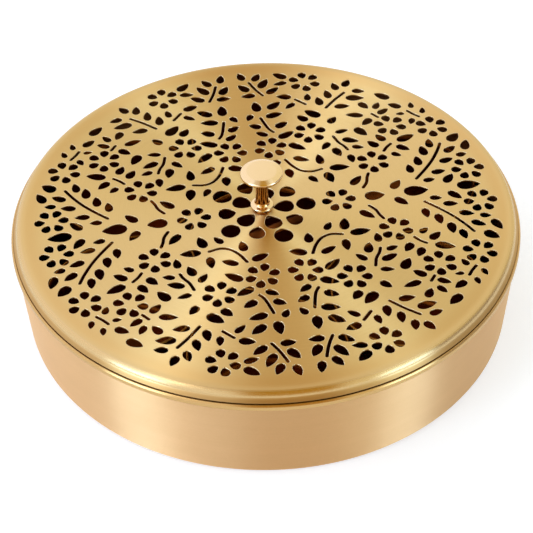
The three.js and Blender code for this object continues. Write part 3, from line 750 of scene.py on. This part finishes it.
def make_spoon():
    """Two grids of points, below and above, closed along their edges."""
    base = bowl_high.z + GAP
    stations = np.concatenate([
        SPOON_BOWL * (1 - np.cos(np.linspace(0, math.pi, 33))) / 2,
        np.linspace(SPOON_BOWL + 2, SPOON_LENGTH - 5, 30),
        SPOON_LENGTH - HANDLE_END_ROUND * (1 - np.sin(np.linspace(0.1, math.pi / 2, 9))),
    ])
    cos, sin = math.cos(SPOON_DIRECTION), math.sin(SPOON_DIRECTION)
    verts, turn = [], []
    for upper in (False, True):
        for s in stations:
            half = spoon_half_width(s)
            for i in range(SPOON_ACROSS):
                u = -math.cos(math.pi * i / (SPOON_ACROSS - 1))
                t = (s / SPOON_BOWL) * 2 - 1
                dip = SPOON_BOWL_DEEP * max(1 - t * t, 0) ** 0.9 * (1 - u * u) if t < 1 else 0
                along = max((s - HANDLE_ARCH_FROM) / (SPOON_LENGTH - HANDLE_ARCH_FROM), 0)
                arch = HANDLE_ARCH * math.sin(math.pi * along)
                edge = SPOON_EDGE_ROUND * SPOON_SHEET * abs(u) ** 6
                lift = SPOON_SHEET - edge if upper else edge + 0.1
                x, y, z = SPOON_TIP - s, half * u, base + arch - dip + lift
                verts.append(((x * cos - y * sin) * MM, (x * sin + y * cos) * MM, z * MM))
                turn.append((s, y, SPOON_PAINTED_SHADE))
    rows = len(stations)
    above = rows * SPOON_ACROSS           # from a point below to the one above it

    def point(row, column):
        return row * SPOON_ACROSS + column

    def side(a, b):
        return (a, a + above, b + above, b)

    faces = []
    for j in range(rows - 1):
        for i in range(SPOON_ACROSS - 1):
            a, b = point(j, i), point(j, i + 1)
            c, d = point(j + 1, i + 1), point(j + 1, i)
            faces += [(b, c, d, a), (d + above, c + above, b + above, a + above)]
        faces += [side(point(j + 1, 0), point(j, 0)),
                  side(point(j, SPOON_ACROSS - 1), point(j + 1, SPOON_ACROSS - 1))]
    for i in range(SPOON_ACROSS - 1):
        faces += [side(point(0, i + 1), point(0, i)),
                  side(point(rows - 1, i), point(rows - 1, i + 1))]
    mesh = bpy.data.meshes.new("small_spoon")
    mesh.from_pydata(verts, [], faces)
    mesh.shade_smooth()
    keep_turn(mesh, turn)
    return link("small_spoon", mesh)


# ------------------------------------------------------------------ materials
def linear(*srgb):
    """An sRGB colour of 0 to 255 as linear RGBA."""
    out = []
    for v in srgb:
        v /= 255
        out.append(v / 12.92 if v <= 0.04045 else ((v + 0.055) / 1.055) ** 2.4)
    return (*out, 1.0)


def spun_metal(name, light, deep, roughness, grain, bump, anisotropic=0.0, lines_per_mm=2.2,
               bands=()):
    """Metal with fine turning lines round its axis, soft patches, painted shade and painted
    highlights on edges.

    Each band is (axis of the turn attribute, from, to, colour, roughness): beyond it the metal
    has another colour and polish.
    """
    material = bpy.data.materials.new(name)
    material.use_nodes = True
    nodes, links = material.node_tree.nodes, material.node_tree.links
    shader = nodes["Principled BSDF"]
    shader.inputs["Metallic"].default_value = 1.0
    shader.inputs["Anisotropic"].default_value = anisotropic
    shader.inputs["Anisotropic Rotation"].default_value = 0.25

    def node(kind, **values):
        made = nodes.new(kind)
        for key, value in values.items():
            if hasattr(made, key):
                setattr(made, key, value)
            else:
                made.inputs[key].default_value = value
        return made

    def noise(vector, per_mm, detail, rough):
        made = node("ShaderNodeTexNoise", Scale=per_mm, Detail=detail, Roughness=rough)
        links.new(vector, made.inputs["Vector"])
        return made.outputs["Fac"]

    def blend(a, b, share):
        mixed = node("ShaderNodeMix", data_type="FLOAT")
        for value, socket in ((share, "Factor"), (a, "A"), (b, "B")):
            if isinstance(value, (int, float)):
                mixed.inputs[socket].default_value = value
            else:
                links.new(value, mixed.inputs[socket])
        return mixed.outputs["Result"]

    def ramp(value, low, high, to_low=0.0, to_high=1.0):
        made = node("ShaderNodeMapRange", interpolation_type="SMOOTHSTEP")
        for socket, number in (("From Min", low), ("From Max", high), ("To Min", to_low),
                               ("To Max", to_high)):
            made.inputs[socket].default_value = number
        links.new(value, made.inputs["Value"])
        return made.outputs["Result"]

    def tinted(colour, share, kind, other):
        mixed = node("ShaderNodeMix", data_type="RGBA", blend_type=kind)
        links.new(share, mixed.inputs["Factor"])
        links.new(colour, mixed.inputs["A"])
        mixed.inputs["B"].default_value = other
        return mixed.outputs["Result"]

    turn = node("ShaderNodeAttribute", attribute_name="turn")
    split = node("ShaderNodeSeparateXYZ")
    links.new(turn.outputs["Vector"], split.inputs[0])
    place = node("ShaderNodeTexCoord")
    place_mm = node("ShaderNodeVectorMath", operation="SCALE")
    place_mm.inputs["Scale"].default_value = 1 / MM
    links.new(place.outputs["Object"], place_mm.inputs[0])

    # Turning lines change only with radius and height; patches and specks in all directions.
    line_at = node("ShaderNodeCombineXYZ")
    links.new(split.outputs["X"], line_at.inputs["X"])
    links.new(split.outputs["Y"], line_at.inputs["Y"])
    fine = noise(line_at.outputs[0], per_mm=lines_per_mm, detail=4.0, rough=0.7)
    broad = noise(line_at.outputs[0], per_mm=0.16, detail=2.0, rough=0.5)
    cloud = noise(place_mm.outputs[0], per_mm=0.028, detail=5.0, rough=0.6)
    speck = noise(place_mm.outputs[0], per_mm=0.9, detail=3.0, rough=0.6)
    lines = blend(fine, broad, 0.4)
    patches = blend(cloud, speck, 0.25)
    both = blend(lines, patches, 0.5)

    tint = node("ShaderNodeValToRGB")
    for element, at, shade in zip(tint.color_ramp.elements, (0.33, 0.62), (deep, light)):
        element.position, element.color = at, shade
    links.new(both, tint.inputs["Fac"])
    colour = tint.outputs["Color"]
    polish = ramp(both, 0.3, 0.7, roughness - grain, roughness + grain)
    for axis, start, end, band_colour, band_roughness in bands:
        band = ramp(split.outputs[axis], start, end, 0.0, BAND_SHARE)
        colour = tinted(colour, band, "MIX", band_colour)
        polish = blend(polish, band_roughness, band)
    # Painted shade where the turn attribute's third value is above 0, painted highlight where it is
    # below 0.
    colour = tinted(colour, ramp(split.outputs["Z"], 0.0, 1.0), "MULTIPLY", PAINTED_SHADE_TINT)
    colour = tinted(colour, ramp(split.outputs["Z"], 0.0, -1.0), "MIX", PAINTED_HIGHLIGHT)
    links.new(colour, shader.inputs["Base Color"])
    links.new(polish, shader.inputs["Roughness"])

    relief = node("ShaderNodeBump", Strength=bump, Distance=LINE_DEEP)
    links.new(lines, relief.inputs["Height"])
    links.new(relief.outputs["Normal"], shader.inputs["Normal"])
    if anisotropic:
        tangent = node("ShaderNodeTangent", direction_type="RADIAL", axis="Z")
        links.new(tangent.outputs[0], shader.inputs["Tangent"])
    return material


def dress(piece, material):
    piece.data.materials.clear()
    piece.data.materials.append(material)


BAND_SHARE = 0.9                          # how much of a band's colour and polish shows
LINE_DEEP = 0.06 * MM
# Colours of the painted shade and of the painted highlight on edges.
PAINTED_SHADE_TINT = (0.36, 0.19, 0.10, 1)
PAINTED_HIGHLIGHT = linear(255, 240, 204)
LID_BRASS, LID_BRASS_DEEP = linear(238, 208, 147), linear(225, 193, 130)
# The rim's paler, darker tint is painted for the shoulder's whiter highlight and its dark band; the
# skirt's and the bead's darker tints are painted shade of what their faces reflect.
BORDER_BRASS, RIM_BRASS_PAINTED_LIGHT = linear(230, 194, 131), linear(210, 182, 132)
SKIRT_BRASS_PAINTED_SHADE, BEAD_BRASS_PAINTED_SHADE = linear(204, 166, 106), linear(200, 163, 104)
WALL_BRASS, WALL_BRASS_DEEP = linear(227, 190, 142), linear(215, 176, 126)
STEM_BRASS, STEM_BRASS_DEEP = linear(228, 170, 90), linear(212, 148, 70)
# A paler copy of the knob's brass, painted as highlight on the top of its base and of its head.
UPPER_FACE_PAINTED_HIGHLIGHT = linear(236, 212, 172)
BOWL_BRASS, BOWL_BRASS_DEEP = linear(216, 152, 70), linear(180, 112, 42)
SPOON_BRASS, SPOON_BRASS_DEEP = linear(202, 140, 68), linear(166, 106, 44)
STEEL, STEEL_DEEP = linear(190, 190, 188), linear(160, 160, 158)

LID_METAL = spun_metal("lid_brass_spun", LID_BRASS, LID_BRASS_DEEP, roughness=0.45,
                       grain=0.05, bump=0.2, anisotropic=1.0,
                       bands=[("X", SHOULDER_R - 11.0, SHOULDER_R - 4.0, BORDER_BRASS, 0.45),
                              ("X", SHOULDER_R - 3.0, SHOULDER_R + 2.0, RIM_BRASS_PAINTED_LIGHT, 0.24),
                              ("X", SKIRT_R - 1.7, SKIRT_R - 1.0, SKIRT_BRASS_PAINTED_SHADE, 0.42)])
WALL_METAL = spun_metal("wall_brass_spun", WALL_BRASS, WALL_BRASS_DEEP, roughness=0.45,
                        grain=0.05, bump=0.2, anisotropic=1.0,
                        bands=[("Y", NECK_TOP - 7.2, NECK_TOP - 6.6, BEAD_BRASS_PAINTED_SHADE, 0.2)])
KNOB_METAL = spun_metal("knob_brass_polished", STEM_BRASS, STEM_BRASS_DEEP, roughness=0.12,
                        grain=0.03, bump=0.12, lines_per_mm=4.0,
                        # The bands on the base's top and the head's top are painted highlight.
                        bands=[("Y", KNOB_FOOT_Z + 1.4, KNOB_FOOT_Z + 2.0, UPPER_FACE_PAINTED_HIGHLIGHT, 0.16),
                               ("Y", KNOB_FOOT_Z + 3.6, KNOB_FOOT_Z + 4.6, STEM_BRASS, 0.1),
                               ("Y", KNOB_TOP_Z - 2.7, KNOB_TOP_Z - 1.8, UPPER_FACE_PAINTED_HIGHLIGHT, 0.16)])
BOWL_METAL = spun_metal("bowl_brass_satin", BOWL_BRASS, BOWL_BRASS_DEEP, roughness=0.3,
                        grain=0.06, bump=0.25)
SPOON_METAL = spun_metal("spoon_brass_polished", SPOON_BRASS, SPOON_BRASS_DEEP, roughness=0.3,
                         grain=0.05, bump=0.1)
STEEL_METAL = spun_metal("steel_plain", STEEL, STEEL_DEEP, roughness=0.3, grain=0.06, bump=0.2)


# ------------------------------------------------------------------ camera, light, floor
CAMERA_UP, CAMERA_ROLL = math.radians(43.09), math.radians(-1.13)
CAMERA_DISTANCE = 0.9168
CAMERA_AIM = Vector((0, 0, 0.0181))
CAMERA_LENS = 126.2
SOFTBOX_PLACE, SOFTBOX_SIZE, SOFTBOX_POWER = (-0.55, -0.50, 0.90), (0.30, 0.45), 1.0
SOFTBOX_AIM = Vector((0, 0, 0.04))

# The studio. x, y and z are parts of a direction of length 1, and each edge below is soft: from
# where it starts to where it is full. The stand and the panels are strips across the front.
LEFT_WALL, RIGHT_WALL = (1.22, 1.19, 1.24, 1), (1.0, 0.93, 0.66, 1)
WALLS_EDGE = (-0.7, 0.7)                  # x
RIGHT_CORNER = (0.32, 0.27, 0.27, 1)
CORNER_EDGE = (0.70, 0.95)                # x
CEILING, CEILING_SHARE = (0.50, 0.34, 0.12, 1), 0.55
CEILING_EDGE = (0.86, 0.97)               # z
FRONT_EDGE = (0.45, 0.2)                  # y
FAN_FOOT = 0.731                          # y of the point where all strips would meet
STAND = (0.60, 0.34, 0.02, 1)
STAND_PLACE, STAND_CORE, STAND_SOFT = 0.09, 0.14, 0.27
STAND_FOOT_EDGE = (-0.1, 0.15)            # z
PANEL_LIGHT = (0.62, 0.92, 1.30, 1)
PANELS = ((-0.60, 0.40), (0.65, 0.37))    # place and power of the left and the right one
PANEL_CORE, PANEL_SOFT = 0.08, 0.23
PANEL_FOOT_EDGE = (0.55, 0.1)             # z
PANEL_FOOT_GAIN = 14.0                    # a panel's foot is this much brighter than its top

FLOOR_HALF = 4.0
FLOOR_WHITE, FLOOR_ROUGHNESS = (0.7, 0.7, 0.7, 1), 0.9
FLOOR_GLOW, FLOOR_GLOW_STRENGTH = (0.85, 1.0, 1.2, 1), 0.45


def make_camera():
    """The view of a product photograph: from the front, 43 degrees down, with a long lens."""
    camera = bpy.data.objects.new("camera", bpy.data.cameras.new("camera"))
    bpy.context.scene.collection.objects.link(camera)
    bpy.context.scene.camera = camera
    back = Vector((0, -math.cos(CAMERA_UP), math.sin(CAMERA_UP)))
    camera.location = CAMERA_AIM + back * CAMERA_DISTANCE
    camera.rotation_mode = "QUATERNION"
    camera.rotation_quaternion = ((-back).to_track_quat("-Z", "Y")
                                  @ Quaternion((0, 0, 1), CAMERA_ROLL))
    camera.data.sensor_width = 36
    camera.data.lens = CAMERA_LENS
    camera.data.clip_start, camera.data.clip_end = 0.05, 50


def make_softbox():
    lamp = bpy.data.lights.new("softbox_left", "AREA")
    lamp.shape, lamp.size, lamp.size_y = "RECTANGLE", *SOFTBOX_SIZE
    lamp.energy = SOFTBOX_POWER
    piece = bpy.data.objects.new("softbox_left", lamp)
    bpy.context.scene.collection.objects.link(piece)
    piece.location = SOFTBOX_PLACE
    piece.rotation_mode = "QUATERNION"
    piece.rotation_quaternion = (SOFTBOX_AIM - piece.location).to_track_quat("-Z", "Y")


def make_world():
    """White studio: a brighter left wall, a darker corner far on the right, a dim ceiling, the
    upright stand of the camera in front, and a tall lit panel on each side of it.

    The stand and the panels narrow towards a point high up behind the box, so on turned metal
    each one shows as a wedge.
    """
    world = bpy.data.worlds.new("studio")
    bpy.context.scene.world = world
    world.use_nodes = True
    nodes, links = world.node_tree.nodes, world.node_tree.links

    def set_input(socket, value):
        if isinstance(value, bpy.types.NodeSocket):
            links.new(value, socket)
        else:
            socket.default_value = value

    def step(value, low, high):
        made = nodes.new("ShaderNodeMapRange")
        made.interpolation_type = "SMOOTHSTEP"
        for name, number in (("Value", value), ("From Min", low), ("From Max", high)):
            set_input(made.inputs[name], number)
        return made.outputs["Result"]

    def maths(operation, a, b=0.0):
        made = nodes.new("ShaderNodeMath")
        made.operation = operation
        set_input(made.inputs[0], a)
        set_input(made.inputs[1], b)
        return made.outputs[0]

    def mix(share, a, b, kind="MIX"):
        made = nodes.new("ShaderNodeMix")
        made.data_type, made.blend_type, made.clamp_factor = "RGBA", kind, False
        for name, value in (("Factor", share), ("A", a), ("B", b)):
            set_input(made.inputs[name], value)
        return made.outputs["Result"]

    def strip(centre, core, soft):
        """1 up to a distance from an upright centre line in front, and 0 further off."""
        away = maths("ABSOLUTE", maths("SUBTRACT", fan, centre))
        return maths("MULTIPLY", step(away, soft, core), in_front)

    place = nodes.new("ShaderNodeTexCoord")
    split = nodes.new("ShaderNodeSeparateXYZ")
    links.new(place.outputs["Generated"], split.inputs[0])
    x, y, z = split.outputs
    fan = maths("DIVIDE", x, maths("SUBTRACT", FAN_FOOT, y))
    in_front = step(y, *FRONT_EDGE)
    colour = mix(step(x, *WALLS_EDGE), LEFT_WALL, RIGHT_WALL)
    colour = mix(step(x, *CORNER_EDGE), colour, RIGHT_CORNER)
    stand = strip(STAND_PLACE, STAND_CORE, STAND_SOFT)
    colour = mix(maths("MULTIPLY", stand, step(z, *STAND_FOOT_EDGE)), colour, STAND)
    colour = mix(maths("MULTIPLY", step(z, *CEILING_EDGE), CEILING_SHARE), colour, CEILING)
    lower = maths("MULTIPLY", step(z, *PANEL_FOOT_EDGE), PANEL_FOOT_GAIN)
    for centre, power in PANELS:
        strength = maths("MULTIPLY", maths("ADD", lower, 1.0), power)
        lit = maths("MULTIPLY", strip(centre, PANEL_CORE, PANEL_SOFT), strength)
        colour = mix(lit, colour, PANEL_LIGHT, "ADD")
    links.new(colour, nodes["Background"].inputs["Color"])


def make_floor():
    mesh = bpy.data.meshes.new("floor")
    half = FLOOR_HALF
    mesh.from_pydata([(-half, -half, 0), (half, -half, 0), (half, half, 0), (-half, half, 0)],
                     [], [(0, 1, 2, 3)])
    floor = link("floor", mesh)
    material = bpy.data.materials.new("floor_white")
    material.use_nodes = True
    shader = material.node_tree.nodes["Principled BSDF"]
    shader.inputs["Base Color"].default_value = FLOOR_WHITE
    shader.inputs["Roughness"].default_value = FLOOR_ROUGHNESS
    shader.inputs["Emission Color"].default_value = FLOOR_GLOW
    shader.inputs["Emission Strength"].default_value = FLOOR_GLOW_STRENGTH
    mesh.materials.append(material)


make_camera()
make_world()
make_floor()
make_softbox()
bpy.context.scene.view_settings.view_transform = "Standard"

# ------------------------------------------------------------------ assembly
lid = make_lid()
dress(lid, LID_METAL)
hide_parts("lid_panel", "lid_rim")
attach(lid, "lid")

box = make_box()
dress(box, WALL_METAL)
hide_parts("box_shell")
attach(box, "box")

knob = make_knob()
dress(knob, KNOB_METAL)
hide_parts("knob")
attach(knob, "lid")

washer = make_washer()
dress(washer, STEEL_METAL)
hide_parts("knob_washer")
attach(washer, "lid")

screw = make_screw()
dress(screw, STEEL_METAL)
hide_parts("knob_screw")
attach(screw, "lid")

for node in ["bowl_centre"] + [f"bowl_{i}" for i in range(1, 7)]:
    katori = make_bowl(node.replace("bowl", "katori"), node)
    dress(katori, BOWL_METAL)
    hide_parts(node)
    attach(katori, node)

spoon = make_spoon()
dress(spoon, SPOON_METAL)
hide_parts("spoon")
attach(spoon, "spoon")
